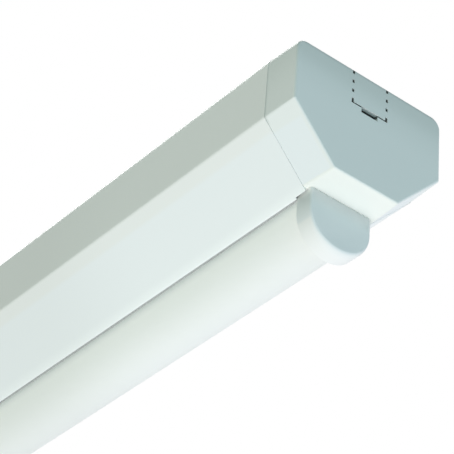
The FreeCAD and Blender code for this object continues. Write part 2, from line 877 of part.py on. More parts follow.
def make_parts():
    end_cap = make_end_cap()
    diffuser_cap = make_diffuser_cap()
    return {
        "housing": make_housing(),
        "cable_grommet": make_cable_grommet(),
        "end_cap_near": end_cap,
        "end_cap_far": mirrored(end_cap),
        "diffuser": make_diffuser(),
        "diffuser_cap_near": diffuser_cap,
        "diffuser_cap_far": mirrored(diffuser_cap),
        "gear_tray": make_gear_tray(),
        "spring_clip_near": make_spring_clip(clip_places[0]),
        "spring_clip_far": make_spring_clip(clip_places[1]),
        "clip_rivets": make_clip_rivets(),
        "led_board_near": make_led_board(board_near),
        "led_board_far": make_led_board(board_far),
        "leds_near": make_leds(board_near[0], board_near[1]),
        "leds_far": make_leds(board_far[1], board_far[0]),
        "board_connector_near": make_board_connector(board_near[0], 1),
        "board_connector_far": make_board_connector(board_far[1], -1),
        "board_screws": make_board_screws(),
        "wire_bush": make_wire_bush(),
        "driver_base": make_driver_base(),
        "driver_case": make_driver_case(),
        "driver_input_terminal": make_driver_terminal(driver_end, -1),
        "driver_output_terminal": make_driver_terminal(driver_start, 1),
        "driver_screws": make_driver_screws(),
        "terminal_block": make_terminal_block(),
        "live_button": make_button(pole_sides["live"]),
        "neutral_button": make_button(pole_sides["neutral"]),
        "earth_button": make_button(pole_sides["earth"]),
        "live_wire": mains_lead(pole_sides["live"], -driver_pole_spread),
        "neutral_wire": mains_lead(pole_sides["neutral"], driver_pole_spread),
        "earth_wire": earth_lead(),
        "led_wire_positive": led_lead(-driver_pole_spread, -connector_pole_spread, 1),
        "led_wire_negative": led_lead(driver_pole_spread, connector_pole_spread, -1),
        "led_wire_link": led_link(),
        "earth_lug": make_earth_lug(),
        "earth_washer": make_earth_washer(),
        "earth_screw": make_earth_screw(),
    }


os.makedirs("parts", exist_ok=True)
for node, shape in make_parts().items():
    shape.exportStep("parts/" + node + ".step")
    print(node, "solids", len(shape.Solids), "volume", round(shape.Volume, 1), "valid", shape.isValid())
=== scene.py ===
import bmesh
import bpy
import math
from mathutils import Matrix, Vector


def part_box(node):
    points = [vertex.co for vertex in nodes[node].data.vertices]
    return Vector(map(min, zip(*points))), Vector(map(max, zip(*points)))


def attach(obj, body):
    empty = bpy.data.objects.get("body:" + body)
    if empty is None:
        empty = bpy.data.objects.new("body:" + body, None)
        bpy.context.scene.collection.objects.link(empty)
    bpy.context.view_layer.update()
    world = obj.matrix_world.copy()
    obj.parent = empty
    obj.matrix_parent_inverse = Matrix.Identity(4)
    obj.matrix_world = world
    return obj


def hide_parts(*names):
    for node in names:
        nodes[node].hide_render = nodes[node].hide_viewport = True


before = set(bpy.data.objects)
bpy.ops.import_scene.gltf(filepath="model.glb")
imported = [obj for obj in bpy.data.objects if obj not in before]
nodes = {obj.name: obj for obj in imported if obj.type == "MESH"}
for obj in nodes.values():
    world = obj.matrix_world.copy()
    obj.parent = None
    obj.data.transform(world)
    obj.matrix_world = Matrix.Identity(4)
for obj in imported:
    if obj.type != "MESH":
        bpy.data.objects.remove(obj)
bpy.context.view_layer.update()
scene = bpy.context.scene
scene.view_settings.view_transform = "Standard"
print("frame loaded:", len(nodes), "nodes")

# Camera: below the near end, looking up along the fitting
photoCamera = {
    "lens": 171.05,
    "sensor": 36.0,
    "place": (0.73127, -0.3681, -0.49327),
    "turn": (126.954, -3.962, 51.123),  # degrees
    "clip": (0.01, 100.0),
}
cameraData = bpy.data.cameras.new("photoCamera")
cameraData.lens = photoCamera["lens"]
cameraData.sensor_width = photoCamera["sensor"]
cameraData.clip_start, cameraData.clip_end = photoCamera["clip"]
camera = bpy.data.objects.new("photoCamera", cameraData)
camera.location = photoCamera["place"]
camera.rotation_euler = [math.radians(angle) for angle in photoCamera["turn"]]
scene.collection.objects.link(camera)
scene.camera = camera
print("camera placed")


def addNode(tree, kind, place, **settings):
    node = tree.nodes.new(kind)
    node.location = place
    for name, value in settings.items():
        if name in node.inputs:
            node.inputs[name].default_value = value
        else:
            setattr(node, name, value)
    return node


def mixColors(tree, place, low=None, high=None):
    node = addNode(tree, "ShaderNodeMix", place, data_type="RGBA")
    share, first, second = node.inputs[0], node.inputs[6], node.inputs[7]  # the colour sockets
    if low:
        first.default_value = (*low, 1)
    if high:
        second.default_value = (*high, 1)
    return share, first, second, node.outputs[2]


def storeMesh(name, bm):
    mesh = bpy.data.meshes.new(name)
    bm.to_mesh(mesh)
    bm.free()
    return mesh


# Studio light: an even sky with a tint of its own on each side, and two soft lamps
studio = {
    "sky": (0.43, 0.44, 0.44),
    "tints": [  # direction, colour of the sky there
        ((1, 0, 0), (0.25, 0.54, 0.64)),
        ((0, -1, 0), (0.49, 0.57, 0.46)),
        ((0, 1, 0), (0.72, 0.78, 0.80)),
        ((0, 0, 1), (0.26, 0.28, 0.28)),
    ],
    "lamps": {
        "lampBelow": {"place": (0.4, -0.31, -1.7), "aim": (0.2, 0, 0), "size": 0.85, "watts": 15.8,
                      "color": (1.0, 0.95, 0.975), "glint": False},  # it stands under the floor
        "lampAbove": {"place": (-1.3, 0.5, 1.9), "aim": (0, 0, 0), "size": 1.4, "watts": 22.0,
                      "color": (1.0, 1.0, 1.0), "glint": True},
    },
}
world = bpy.data.worlds.new("whiteStudio")
world.use_nodes = True
scene.world = world
tree = world.node_tree
tree.nodes.clear()
link = tree.links.new
way = addNode(tree, "ShaderNodeTexCoord", (-1400, 0))
sky = addNode(tree, "ShaderNodeBackground", (-250, 0), Strength=1.0)
paper = addNode(tree, "ShaderNodeBackground", (-250, -150), Color=(1, 1, 1, 1), Strength=1.0)
tinted = None
for index, (direction, color) in enumerate(studio["tints"]):
    lobe = addNode(tree, "ShaderNodeVectorMath", (-1200, -160 * index), operation="DOT_PRODUCT")
    lobe.inputs[1].default_value = direction
    share, first, _, mixed = mixColors(tree, (-1000 + 180 * index, 150), studio["sky"], color)
    link(way.outputs["Generated"], lobe.inputs[0])
    link(lobe.outputs["Value"], share)  # a negative share counts as none
    if tinted:
        link(tinted, first)
    tinted = mixed
link(tinted, sky.inputs["Color"])
path = addNode(tree, "ShaderNodeLightPath", (-700, 500))
seen = path.outputs["Is Camera Ray"]
for index, ray in enumerate(("Is Glossy Ray", "Is Transmission Ray")):
    either = addNode(tree, "ShaderNodeMath", (-450 + 200 * index, 400), operation="MAXIMUM")
    link(seen, either.inputs[0])
    link(path.outputs[ray], either.inputs[1])
    seen = either.outputs[0]
mix = addNode(tree, "ShaderNodeMixShader", (0, 100))
out = addNode(tree, "ShaderNodeOutputWorld", (200, 100))
link(seen, mix.inputs[0])
link(sky.outputs[0], mix.inputs[1])
link(paper.outputs[0], mix.inputs[2])
link(mix.outputs[0], out.inputs["Surface"])
for name, spec in studio["lamps"].items():
    data = bpy.data.lights.new(name, "AREA")
    data.shape = "DISK"
    data.size = spec["size"]
    data.energy = spec["watts"]
    data.color = spec["color"]
    lamp = bpy.data.objects.new(name, data)
    lamp.location = spec["place"]
    aim = Vector(spec["aim"]) - lamp.location
    lamp.rotation_euler = aim.to_track_quat("-Z", "Y").to_euler()
    lamp.visible_camera = False
    lamp.visible_glossy = spec["glint"]
    scene.collection.objects.link(lamp)
print("light set")

# Floor: pale, fading into the white, and open to a camera or lamp that is under it
floorSpec = {
    "height": -0.195,  # under the tray when it is let down
    "radius": 1.6,
    "sides": 96,
    "fade": (0.45, 1.45),
    "color": (0.42, 0.425, 0.425),
    "speckle": (0.405, 0.41, 0.41),
    "grain": {"Scale": 180.0, "Detail": 3.0},
    "glow": 0.66,  # what the camera sees besides the light on it
}
bm = bmesh.new()
bmesh.ops.create_circle(bm, cap_ends=True, segments=floorSpec["sides"], radius=floorSpec["radius"])
bmesh.ops.translate(bm, verts=bm.verts, vec=(0, 0, floorSpec["height"]))
floorMesh = storeMesh("floor", bm)
floor = bpy.data.objects.new("floor", floorMesh)
scene.collection.objects.link(floor)
floor.visible_shadow = False
floor.visible_diffuse = False
floor.visible_glossy = False
floor.visible_transmission = False
floorMaterial = bpy.data.materials.new("paleFloor")
floorMaterial.use_nodes = True
tree = floorMaterial.node_tree
tree.nodes.clear()
link = tree.links.new
coords = addNode(tree, "ShaderNodeTexCoord", (-900, 0))
reach = addNode(tree, "ShaderNodeVectorMath", (-720, 0), operation="LENGTH")
fade = addNode(tree, "ShaderNodeMapRange", (-540, 0), interpolation_type="SMOOTHSTEP")
fade.inputs["From Min"].default_value, fade.inputs["From Max"].default_value = floorSpec["fade"]
speckle = addNode(tree, "ShaderNodeTexNoise", (-720, -250), **floorSpec["grain"])
share, _, _, floorTone = mixColors(tree, (-500, -250), floorSpec["color"], floorSpec["speckle"])
under = addNode(tree, "ShaderNodeNewGeometry", (-540, 250))
opened = addNode(tree, "ShaderNodeMath", (-300, 120), operation="MAXIMUM")
matt = addNode(tree, "ShaderNodeBsdfDiffuse", (-300, -150))
floorGlow = addNode(tree, "ShaderNodeEmission", (-300, -380), Strength=floorSpec["glow"])
pale = addNode(tree, "ShaderNodeAddShader", (-150, -150))
clear = addNode(tree, "ShaderNodeBsdfTransparent", (-300, -280))
mix = addNode(tree, "ShaderNodeMixShader", (-20, 0))
out = addNode(tree, "ShaderNodeOutputMaterial", (160, 0))
link(coords.outputs["Object"], reach.inputs[0])
link(coords.outputs["Object"], speckle.inputs["Vector"])
link(speckle.outputs["Fac"], share)
link(reach.outputs["Value"], fade.inputs["Value"])
link(fade.outputs[0], opened.inputs[0])
link(under.outputs["Backfacing"], opened.inputs[1])
link(floorTone, matt.inputs["Color"])
link(matt.outputs[0], pale.inputs[0])
link(floorGlow.outputs[0], pale.inputs[1])
link(opened.outputs[0], mix.inputs[0])
link(pale.outputs[0], mix.inputs[1])
link(clear.outputs[0], mix.inputs[2])
link(mix.outputs[0], out.inputs["Surface"])
floorMesh.materials.append(floorMaterial)
print("floor laid")


# Effects that several finishes share
def newGroup(name, inputs, outputs):
    group = bpy.data.node_groups.new(name, "ShaderNodeTree")
    for label, kind, value in inputs:
        socket = group.interface.new_socket(name=label, in_out="INPUT", socket_type="NodeSocket" + kind)
        socket.default_value = value
    for label, kind in outputs:
        group.interface.new_socket(name=label, in_out="OUTPUT", socket_type="NodeSocket" + kind)
    entry = addNode(group, "NodeGroupInput", (-900, 0))
    leave = addNode(group, "NodeGroupOutput", (500, 0))
    return group, entry, leave


def useGroup(tree, group, place, **values):
    node = addNode(tree, "ShaderNodeGroup", place, node_tree=group)
    for name, value in values.items():
        node.inputs[name].default_value = value
    return node


# Slow drift between a colour and a slightly darker one
driftNoise = {"detail": 4.0, "roughness": 0.6, "span": (0.3, 0.75)}
toneDrift, entry, leave = newGroup(
    "toneDrift",
    [("Color", "Color", (0.8, 0.8, 0.8, 1)), ("Shade", "Color", (0.7, 0.7, 0.7, 1)),
     ("Scale", "Float", 10.0)],
    [("Color", "Color")],
)
coords = addNode(toneDrift, "ShaderNodeTexCoord", (-900, -200))
cloud = addNode(toneDrift, "ShaderNodeTexNoise", (-650, -100), Detail=driftNoise["detail"],
                Roughness=driftNoise["roughness"])
spread = addNode(toneDrift, "ShaderNodeMapRange", (-420, -100))
spread.inputs["From Min"].default_value, spread.inputs["From Max"].default_value = driftNoise["span"]
share, first, second, drifted = mixColors(toneDrift, (200, 0))
link = toneDrift.links.new
link(coords.outputs["Object"], cloud.inputs["Vector"])
link(entry.outputs["Scale"], cloud.inputs["Scale"])
link(cloud.outputs["Fac"], spread.inputs["Value"])
link(spread.outputs[0], share)
link(entry.outputs["Color"], first)
link(entry.outputs["Shade"], second)
link(drifted, leave.inputs["Color"])

# Fine grain of paint, a mould or a drawn strip: roughness, and a height for the bump
grainNoise = {"detail": 3.0, "roughness": 0.55, "span": (0.3, 0.7)}
fineGrain, entry, leave = newGroup(
    "fineGrain",
    [("Scale", "Float", 900.0), ("Stretch", "Vector", (1, 1, 1)), ("Smooth", "Float", 0.35),
     ("Rough", "Float", 0.5)],
    [("Roughness", "Float"), ("Height", "Float")],
)
coords = addNode(fineGrain, "ShaderNodeTexCoord", (-900, -250))
pull = addNode(fineGrain, "ShaderNodeMapping", (-700, -200))
grain = addNode(fineGrain, "ShaderNodeTexNoise", (-480, -100), Detail=grainNoise["detail"],
                Roughness=grainNoise["roughness"])
level = addNode(fineGrain, "ShaderNodeMapRange", (-150, 0))
level.inputs["From Min"].default_value, level.inputs["From Max"].default_value = grainNoise["span"]
link = fineGrain.links.new
link(coords.outputs["Object"], pull.inputs["Vector"])
link(entry.outputs["Stretch"], pull.inputs["Scale"])
link(pull.outputs[0], grain.inputs["Vector"])
link(entry.outputs["Scale"], grain.inputs["Scale"])
link(grain.outputs["Fac"], level.inputs["Value"])
link(entry.outputs["Smooth"], level.inputs["To Min"])
link(entry.outputs["Rough"], level.inputs["To Max"])
link(level.outputs[0], leave.inputs["Roughness"])
link(grain.outputs["Fac"], leave.inputs["Height"])

# A soft-edged band of a coordinate, the same on both sides of zero
band, entry, leave = newGroup(
    "band",
    [("Value", "Float", 0.0), ("Middle", "Float", 0.0), ("Half", "Float", 0.001), ("Soft", "Float", 0.0001)],
    [("Mask", "Float")],
)
size = addNode(band, "ShaderNodeMath", (-700, 100), operation="ABSOLUTE")
offset = addNode(band, "ShaderNodeMath", (-520, 60), operation="SUBTRACT")
away = addNode(band, "ShaderNodeMath", (-350, 60), operation="ABSOLUTE")
inner = addNode(band, "ShaderNodeMath", (-350, -100), operation="SUBTRACT")
outer = addNode(band, "ShaderNodeMath", (-350, -250), operation="ADD")
cover = addNode(band, "ShaderNodeMapRange", (-100, 0), interpolation_type="SMOOTHSTEP")
cover.inputs["To Min"].default_value, cover.inputs["To Max"].default_value = 1.0, 0.0
link = band.links.new
link(entry.outputs["Value"], size.inputs[0])
link(size.outputs[0], offset.inputs[0])
link(entry.outputs["Middle"], offset.inputs[1])
link(offset.outputs[0], away.inputs[0])
for edge in (inner, outer):
    link(entry.outputs["Half"], edge.inputs[0])
    link(entry.outputs["Soft"], edge.inputs[1])
link(away.outputs[0], cover.inputs["Value"])
link(inner.outputs[0], cover.inputs["From Min"])
link(outer.outputs[0], cover.inputs["From Max"])
link(cover.outputs[0], leave.inputs["Mask"])
print("shared effects made")


def makeFinish(name, spec):
    material = bpy.data.materials.new(name)
    material.use_nodes = True
    tree = material.node_tree
    shader = tree.nodes["Principled BSDF"]
    shader.location = (0, 0)
    tone = useGroup(tree, toneDrift, (-600, 150), Color=(*spec["color"], 1), Shade=(*spec["shade"], 1),
                    Scale=spec["drift"])
    grain = useGroup(tree, fineGrain, (-600, -120), Scale=spec["grain"],
                     Stretch=spec.get("stretch", (1, 1, 1)), Smooth=spec["rough"][0], Rough=spec["rough"][1])
    bump = addNode(tree, "ShaderNodeBump", (-240, -250), Strength=spec["bump"], Distance=spec["depth"])
    tree.links.new(tone.outputs["Color"], shader.inputs["Base Color"])
    tree.links.new(grain.outputs["Roughness"], shader.inputs["Roughness"])
    tree.links.new(grain.outputs["Height"], bump.inputs["Height"])
    tree.links.new(bump.outputs["Normal"], shader.inputs["Normal"])
    for socket, value in spec.get("sockets", {}).items():
        shader.inputs[socket].default_value = value
    return material


def layOver(material, mask, color, blend="MIX"):
    tree = material.node_tree
    base = tree.nodes["Principled BSDF"].inputs["Base Color"]
    under = base.links[0].from_socket
    share, first, _, mixed = mixColors(tree, (-200, 300), high=color)
    mixed.node.blend_type = blend
    tree.links.new(mask, share)
    tree.links.new(under, first)
    tree.links.new(mixed, base)


def bandMask(tree, source, bands):
    # product of bands of the X, Y or Z of a coordinate: (axis, middle, half, soft)
    mask = None
    split = addNode(tree, "ShaderNodeSeparateXYZ", (-1300, 400))
    coords = addNode(tree, "ShaderNodeTexCoord", (-1500, 400))
    tree.links.new(coords.outputs[source], split.inputs[0])
    for index, (axis, middle, half, soft) in enumerate(bands):
        node = useGroup(tree, band, (-1100, 500 - 180 * index), Middle=middle, Half=half, Soft=soft)
        tree.links.new(split.outputs[axis], node.inputs["Value"])
        if mask:
            both = addNode(tree, "ShaderNodeMath", (-850, 500 - 180 * index), operation="MULTIPLY")
            tree.links.new(mask, both.inputs[0])
            tree.links.new(node.outputs["Mask"], both.inputs[1])
            mask = both.outputs[0]
        else:
            mask = node.outputs["Mask"]
    return mask


def tint(material, layer):
    mask = bandMask(material.node_tree, "Object", layer["bands"])
    layOver(material, mask, layer["color"], layer.get("blend", "MIX"))


# Painted glow: an emission over a band of a piece that is no lamp
def glow(material, layer):
    tree = material.node_tree
    shader = tree.nodes["Principled BSDF"]
    share, _, _, lit = mixColors(tree, (-200, -500), (0, 0, 0), layer["color"])
    tree.links.new(bandMask(tree, "Object", layer["bands"]), share)
    tree.links.new(lit, shader.inputs["Emission Color"])
    shader.inputs["Emission Strength"].default_value = layer["strength"]


def dress(name, material):
    mesh = nodes[name].data
    mesh.materials.clear()
    mesh.materials.append(material)


# Outer pieces: painted shade, a little darker in the middle of the length
paintedMiddleShade = {"color": (0.935, 0.935, 0.93), "blend": "MULTIPLY", "bands": [("X", 0.0, 0.175, 0.035)]}

# Housing: white powder coat, with the slight orange peel of a sprayed sheet
housingPaint = {"color": (0.875, 0.895, 0.885), "shade": (0.855, 0.878, 0.866), "drift": 7.0, "grain": 1100.0,
                "rough": (0.36, 0.46), "bump": 0.12, "depth": 0.00006}
# Painted light: a bluer tint on the slopes, for the light that falls on them
slopePaintedLight = {"color": (0.870, 0.908, 0.922), "bands": [("Z", 0.0420, 0.0100, 0.0008)]}
# Painted light: the slopes lighter towards the lips
lipPaintedLight = {"color": (0.925, 0.965, 0.975), "bands": [("Z", 0.0490, 0.0015, 0.0015)]}
lipEdgeShade = {"color": (0.38, 0.40, 0.395),  # painted shade along the folded edge
           "bands": [("Y", 0.0126, 0.0008, 0.0002), ("Z", 0.0492, 0.0003, 0.0001)]}
endEdgeLight = {"color": (0.99, 1.0, 1.0),  # painted light on the cut ends, against the shade there
           "bands": [("X", 0.2852, 0.0003, 0.00005), ("Z", 0.0420, 0.0100, 0.0008)]}
housingMaterial = makeFinish("housingPaint", housingPaint)
for layer in (slopePaintedLight, lipPaintedLight, lipEdgeShade, endEdgeLight, paintedMiddleShade):
    tint(housingMaterial, layer)
dress("housing", housingMaterial)

# End caps: moulded, with a fine spark-eroded skin, with painted shade towards the ceiling and inside their
# cuts
capPlastic = {"color": (0.86, 0.893, 0.888), "shade": (0.845, 0.88, 0.874), "drift": 16.0, "grain": 2600.0,
              "rough": (0.40, 0.52), "bump": 0.15, "depth": 0.00004}
# Painted light: a bluer tint on the caps' slopes, for the light that falls on them
capSlopePaintedLight = {"color": (0.855, 0.90, 0.922),
            "bands": [("X", 0.2910, 0.0075, 0.0006), ("Z", 0.0400, 0.0075, 0.0006)]}
# Painted shade: darker towards the ceiling, most on the end face
capTopShade = {"color": (0.74, 0.785, 0.775), "bands": [("Z", 0.0, 0.012, 0.012)]}
capCrownShade = {"color": (0.68, 0.725, 0.712),
            "bands": [("X", 0.2998, 0.0007, 0.0003), ("Z", 0.0, 0.007, 0.006)]}
capEdgeShade = {"color": (0.58, 0.62, 0.61),  # painted shade along the ceiling
           "bands": [("X", 0.2998, 0.0007, 0.0003), ("Z", 0.0, 0.0020, 0.0003)]}
# Painted shade on the walls inside the cuts
capCutShade = {
    "color": (0.15, 0.165, 0.16),
    "endWall": [("X", 0.2991, 0.0006, 0.00002), ("Y", 0.0064, 0.0028, 0.0001), ("Z", 0.0085, 0.0075, 0.0001)],
    "slotWall": [("X", 0.2982, 0.0003, 0.0002), ("Y", 0.0, 0.0038, 0.0001), ("Z", 0.0155, 0.0012, 0.0001)],
    "topWall": [("X", 0.2946, 0.0051, 0.0001), ("Y", 0.0, 0.0092, 0.0001), ("Z", 0.00158, 0.0006, 0.00002)],
}
# Painted light: the tint of the light from below on the caps' bottom
capBottomLightTint = {"color": (0.873, 0.897, 0.856), "bands": [("Z", 0.0477, 0.0005, 0.0004)]}
capJointShade = {"color": (0.74, 0.78, 0.77),  # painted shade along the joint with the housing
            "bands": [("X", 0.2853, 0.0005, 0.0004), ("Z", 0.0150, 0.0150, 0.0010)]}
capMaterial = makeFinish("capPlastic", capPlastic)
for layer in (capSlopePaintedLight, capBottomLightTint, capTopShade, capCrownShade, capEdgeShade, capJointShade):
    tint(capMaterial, layer)
for wall in ("endWall", "slotWall", "topWall"):
    tint(capMaterial, {"color": capCutShade["color"], "bands": capCutShade[wall]})
dress("end_cap_near", capMaterial)
dress("end_cap_far", capMaterial)

# Diffuser: opal, milky through its wall, with faint lines along the extrusion
diffuserOpal = {"color": (0.84, 0.865, 0.845), "shade": (0.825, 0.853, 0.83), "drift": 5.0, "grain": 1.0,
                "stretch": (6, 1500, 1500), "rough": (0.30, 0.38), "bump": 0.06, "depth": 0.00003,
                "sockets": {"Subsurface Weight": 0.2, "Subsurface Radius": (1.0, 1.0, 0.95),
                            "Subsurface Scale": 0.002}}
opalPaintedGlow = {"color": (0.98, 1.0, 0.97), "strength": 0.165,  # painted glow at the top of the diffuser
            "bands": [("Z", 0.0495, 0.0065, 0.0065)]}
lipShadow = {"color": (0.635, 0.68, 0.68), "bands": [("Z", 0.0485, 0.0026, 0.0026)]}  # painted shadow along the lips
opalMiddleShade = {**paintedMiddleShade, "bands": [("X", 0.0, 0.155, 0.035)]}  # painted shade in the middle, shorter than on the housing
diffuserMaterial = makeFinish("diffuserOpal", diffuserOpal)
glow(diffuserMaterial, opalPaintedGlow)
tint(diffuserMaterial, lipShadow)
tint(diffuserMaterial, opalMiddleShade)
dress("diffuser", diffuserMaterial)

# Caps of the diffuser: white, with painted shade on the sides and face
diffuserCap = {"color": (0.875, 0.89, 0.882), "shade": (0.86, 0.877, 0.868), "drift": 22.0, "grain": 2200.0,
               "rough": (0.34, 0.44), "bump": 0.1, "depth": 0.00004}
sideBand = ("Y", 0.0134, 0.0008, 0.0003)
dCapSideShade = {"color": (0.775, 0.82, 0.835), "bands": [sideBand]}
dCapShoulderLight = {"color": (0.97, 0.98, 0.98),  # painted light at the top of the sides, where they pass the lips
                "bands": [sideBand, ("Z", 0.0478, 0.0022, 0.0016)]}
# Painted shade on the face
dCapFaceShade = {"color": (0.815, 0.852, 0.862), "bands": [("X", 0.2873, 0.0005, 0.0003)]}
dCapGapShade = {"color": (0.45, 0.48, 0.47),  # painted shade in the gap beside the lips
           "bands": [("X", 0.2822, 0.0024, 0.0003), sideBand, ("Z", 0.0478, 0.0004, 0.0002)]}
dCapPaintedGlow = {"color": (0.97, 1.0, 0.98), "strength": 0.13,  # painted glow at the top of the sides
            "bands": [sideBand, ("Z", 0.0477, 0.0024, 0.0042)]}
diffuserCapMaterial = makeFinish("diffuserCap", diffuserCap)
for layer in (dCapSideShade, dCapShoulderLight, dCapFaceShade, dCapGapShade):
    tint(diffuserCapMaterial, layer)
glow(diffuserCapMaterial, dCapPaintedGlow)
print("outer pieces dressed")

# Finishes of the pieces inside, which show when the tray is let down
moulded = {"grain": 2400.0, "rough": (0.36, 0.5), "bump": 0.12, "depth": 0.00004}
plated = {"grain": 2800.0, "rough": (0.22, 0.36), "bump": 0.02, "depth": 0.00001,
          "sockets": {"Metallic": 1.0}}
sleeve = {"drift": 120.0, "grain": 1500.0, "rough": (0.28, 0.4), "bump": 0.05, "depth": 0.00003}
insideFinishes = {
    "trayPaint": {"color": (0.86, 0.865, 0.85), "shade": (0.84, 0.845, 0.83), "drift": 9.0, "grain": 1300.0,
                  "rough": (0.38, 0.5), "bump": 0.08, "depth": 0.00004},
    "boardMask": {"color": (0.88, 0.88, 0.85), "shade": (0.86, 0.86, 0.825), "drift": 25.0, "grain": 1800.0,
                  "rough": (0.3, 0.42), "bump": 0.06, "depth": 0.00003},
    "connectorNylon": {"color": (0.80, 0.80, 0.76), "shade": (0.775, 0.775, 0.73), "drift": 60.0, **moulded},
    "terminalNylon": {"color": (0.84, 0.84, 0.81), "shade": (0.815, 0.815, 0.78), "drift": 40.0, **moulded},
    "driverShell": {"color": (0.85, 0.855, 0.845), "shade": (0.83, 0.836, 0.825), "drift": 18.0,
                    "grain": 1900.0, "rough": (0.42, 0.56), "bump": 0.25, "depth": 0.00005},
    "terminalGrey": {"color": (0.27, 0.29, 0.30), "shade": (0.245, 0.262, 0.272), "drift": 60.0, **moulded},
    "galvanised": {"color": (0.42, 0.43, 0.44), "shade": (0.33, 0.34, 0.35), "drift": 160.0, "grain": 700.0,
                   "rough": (0.28, 0.44), "bump": 0.06, "depth": 0.00003, "sockets": {"Metallic": 1.0}},
    "springSteel": {"color": (0.36, 0.365, 0.38), "shade": (0.27, 0.275, 0.29), "drift": 90.0, "grain": 1.0,
                    "stretch": (2600, 90, 90), "rough": (0.2, 0.36), "bump": 0.1, "depth": 0.00002,
                    "sockets": {"Metallic": 1.0}},
    "rivetAlloy": {"color": (0.52, 0.53, 0.54), "shade": (0.45, 0.46, 0.475), "drift": 350.0, **plated},
    "zincPlate": {"color": (0.40, 0.41, 0.43), "shade": (0.34, 0.35, 0.37), "drift": 350.0, **plated},
    "tinnedCopper": {"color": (0.48, 0.475, 0.44), "shade": (0.40, 0.39, 0.36), "drift": 300.0, **plated},
    "blackRubber": {"color": (0.030, 0.030, 0.032), "shade": (0.042, 0.042, 0.044), "drift": 70.0,
                    "grain": 3000.0, "rough": (0.55, 0.75), "bump": 0.2, "depth": 0.00004},
    "ledFrame": {"color": (0.83, 0.82, 0.77), "shade": (0.80, 0.79, 0.735), "drift": 500.0, **moulded},
    "ledPhosphor": {"color": (0.85, 0.60, 0.08), "shade": (0.80, 0.54, 0.06), "drift": 900.0, "grain": 5000.0,
                    "rough": (0.2, 0.3), "bump": 0.05, "depth": 0.00002, "sockets": {"Coat Weight": 0.5}},
    "solder": {"color": (0.50, 0.50, 0.49), "shade": (0.42, 0.42, 0.41), "drift": 900.0, **plated},
    "buttonBrown": {"color": (0.12, 0.035, 0.012), "shade": (0.10, 0.028, 0.01), "drift": 200.0, **moulded},
    "buttonBlue": {"color": (0.012, 0.055, 0.33), "shade": (0.01, 0.045, 0.28), "drift": 200.0, **moulded},
    "buttonGreen": {"color": (0.035, 0.22, 0.025), "shade": (0.03, 0.19, 0.02), "drift": 200.0, **moulded},
    "sleeveBrown": {"color": (0.10, 0.030, 0.012), "shade": (0.085, 0.025, 0.01), **sleeve},
    "sleeveBlue": {"color": (0.010, 0.048, 0.30), "shade": (0.008, 0.04, 0.25), **sleeve},
    "sleeveEarth": {"color": (0.03, 0.20, 0.02), "shade": (0.025, 0.17, 0.015), **sleeve},
    "sleeveRed": {"color": (0.33, 0.008, 0.006), "shade": (0.28, 0.007, 0.005), **sleeve},
    "sleeveBlack": {"color": (0.012, 0.012, 0.013), "shade": (0.018, 0.018, 0.019), **sleeve},
    "sleeveWhite": {"color": (0.80, 0.80, 0.77), "shade": (0.77, 0.77, 0.735), **sleeve},
}
finishes = {name: makeFinish(name, spec) for name, spec in insideFinishes.items()}
finishes["diffuserCap"] = diffuserCapMaterial

# Painted glow on the tray's edge, in the gap along the lips
edgePaintedGlow = {"color": (0.97, 1.0, 0.98), "strength": 0.14,
             "bands": [("Y", 0.0120, 0.0004, 0.0001), ("Z", 0.0483, 0.0008, 0.0003)]}
glow(finishes["trayPaint"], edgePaintedGlow)

# Tracks under the white mask of the boards, in two runs beside the packages
boardTracks = {"color": (0.79, 0.79, 0.755), "bands": [("Y", 0.0060, 0.0014, 0.00012)]}
tint(finishes["boardMask"], boardTracks)

# Yellow stripes along the green earth lead, one on each side
earthStripe = {"color": (0.72, 0.52, 0.02), "bands": [("Y", 1.0, 0.34, 0.02)]}  # of the normal
material = finishes["sleeveEarth"]
layOver(material, bandMask(material.node_tree, "Normal", earthStripe["bands"]), earthStripe["color"])

# Spangle of the zinc coat
spangle = {"scale": 260.0, "color": (0.50, 0.51, 0.52)}
material = finishes["galvanised"]
tree = material.node_tree
coords = addNode(tree, "ShaderNodeTexCoord", (-1100, 400))
crystals = addNode(tree, "ShaderNodeTexVoronoi", (-900, 400), Scale=spangle["scale"])
pick = addNode(tree, "ShaderNodeSeparateColor", (-700, 400))
tree.links.new(coords.outputs["Object"], crystals.inputs["Vector"])
tree.links.new(crystals.outputs["Color"], pick.inputs[0])
layOver(material, pick.outputs[0], spangle["color"])

# CAD nodes inside that keep their shape, and the finish of each
insideNodes = {
    "gear_tray": "trayPaint", "led_board_near": "boardMask", "led_board_far": "boardMask",
    "driver_case": "driverShell", "spring_clip_near": "springSteel", "spring_clip_far": "springSteel",
    "earth_lug": "tinnedCopper", "earth_washer": "zincPlate", "live_wire": "sleeveBrown",
    "neutral_wire": "sleeveBlue", "earth_wire": "sleeveEarth", "led_wire_positive": "sleeveRed",
    "led_wire_negative": "sleeveBlack", "led_wire_link": "sleeveWhite",
}
for name, finish in insideNodes.items():
    dress(name, finishes[finish])
print("inner pieces dressed")


# New pieces, each in the place of the CAD nodes that it stands for
joinGap = 1e-6  # points of a CAD mesh nearer than this are one
poleGap = 1e-7  # the same on a turned shape
crispAngle = math.radians(40)  # an edge past this stays crisp
flatAngle = math.radians(0.5)  # faces below this are one flat


def addPiece(name, bm, body, materials, replaced):
    mesh = storeMesh(name, bm)
    mesh.shade_smooth()
    mesh.set_sharp_from_angle(angle=crispAngle)
    for material in materials:
        mesh.materials.append(finishes[material])
    piece = bpy.data.objects.new(name, mesh)
    scene.collection.objects.link(piece)
    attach(piece, body)
    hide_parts(*replaced)


def cadCopy(name):
    bm = bmesh.new()
    bm.from_mesh(nodes[name].data)
    bmesh.ops.remove_doubles(bm, verts=bm.verts, dist=joinGap)
    return bm


